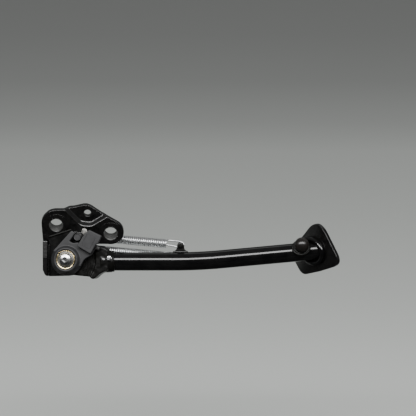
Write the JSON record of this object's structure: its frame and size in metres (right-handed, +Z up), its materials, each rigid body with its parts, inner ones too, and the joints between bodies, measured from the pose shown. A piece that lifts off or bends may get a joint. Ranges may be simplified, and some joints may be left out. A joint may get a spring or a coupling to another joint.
{
  "type": "motorcycle side stand",
  "caption": "Folding motorcycle side stand on its bolt-on bracket, with rotary switch, twin extension springs, bent tube leg and foot plate.",
  "frame": {"origin": "midway between the two bracket bolt holes, on the plane where the spacer bushes meet the motorcycle", "axes": "+X along the folded leg away from the pivot, +Y into the motorcycle, +Z up"},
  "size_m": [0.3202, 0.0631, 0.0785],
  "materials": {
    "bare_steel": "bare machined steel",
    "bright_zinc": "bright zinc plating",
    "bush_bronze": "sintered bronze",
    "cast_black_paint": "satin black paint over a rough forging",
    "gloss_black_paint": "gloss black paint",
    "rubber": "matte black rubber",
    "switch_plastic": "matte dark grey moulding",
    "yellow_zinc": "yellow zinc plating"
  },
  "bodies": {
    "bracket": {"bracket_plate": "gloss_black_paint", "cable_gland": "rubber", "fold_stop_pin": "cast_black_paint", "keeper_clip": "bare_steel", "left_spacer_bush": "bare_steel", "locating_peg": "cast_black_paint", "lower_spring_anchor": "cast_black_paint", "pivot_bolt": "bare_steel", "pivot_bush": "bush_bronze", "pivot_lug": "gloss_black_paint", "pivot_nut": "bright_zinc", "pivot_washer": "bright_zinc", "retaining_ring": "yellow_zinc", "right_spacer_bush": "bare_steel", "side_flange": "gloss_black_paint", "switch_connector": "switch_plastic", "switch_housing": "switch_plastic", "switch_screw": "bright_zinc", "switch_seal": "rubber", "upper_spring_anchor": "cast_black_paint"},
    "leg": {"foot_plate": "gloss_black_paint", "foot_weld": "gloss_black_paint", "grease_nipple": "bright_zinc", "kick_knob": "gloss_black_paint", "knob_collar": "cast_black_paint", "leg_tube": "gloss_black_paint", "leg_yoke": "cast_black_paint", "lower_spring_stud": "cast_black_paint", "spring_hook_plate": "cast_black_paint", "switch_rotor": "switch_plastic", "upper_spring_pin": "cast_black_paint", "yoke_plug": "bright_zinc"},
    "upper_spring": {"upper_spring_coil": "bright_zinc"},
    "upper_spring_end": {"upper_spring_end_hook": "bright_zinc"},
    "lower_spring": {"lower_spring_coil": "bright_zinc"},
    "lower_spring_end": {"lower_spring_end_hook": "bright_zinc"}
  },
  "joints": [
    {"name": "leg_fold", "type": "hinge", "parent": "bracket", "child": "leg", "pos_m": [-0.0156, -0.0256, -0.0311], "axis": [0.1501, 0.8949, -0.4202], "range_deg": [0, 100]},
    {"name": "upper_spring_swing", "type": "hinge", "parent": "leg", "child": "upper_spring_end", "pos_m": [0.1046, -0.01037, -0.02102], "axis": [0.1501, 0.8949, -0.4202], "range_deg": [-19.81, 1]},
    {"name": "upper_spring_stretch", "type": "slide", "parent": "upper_spring_end", "child": "upper_spring", "axis": [-0.9913, 0.1259, 0.0392], "range_m": [-0.0005, 0.01415], "deforming": ["upper_spring_coil"]},
    {"name": "lower_spring_swing", "type": "hinge", "parent": "leg", "child": "lower_spring_end", "pos_m": [0.1018, -0.01598, -0.03296], "axis": [0.1501, 0.8949, -0.4202], "range_deg": [-14.96, 1]},
    {"name": "lower_spring_stretch", "type": "slide", "parent": "lower_spring_end", "child": "lower_spring", "axis": [-0.9907, 0.1296, 0.0421], "range_m": [-0.00229, 0.0005], "deforming": ["lower_spring_coil"]}
  ],
  "couplings": [
    {"joint": "upper_spring_swing", "follows": "leg_fold", "ratio": -0.18808},
    {"joint": "upper_spring_stretch", "follows": "leg_fold", "m_per_rad": 0.007821},
    {"joint": "lower_spring_swing", "follows": "leg_fold", "ratio": -0.13961},
    {"joint": "lower_spring_stretch", "follows": "leg_fold", "m_per_rad": -0.001023}
  ]
}
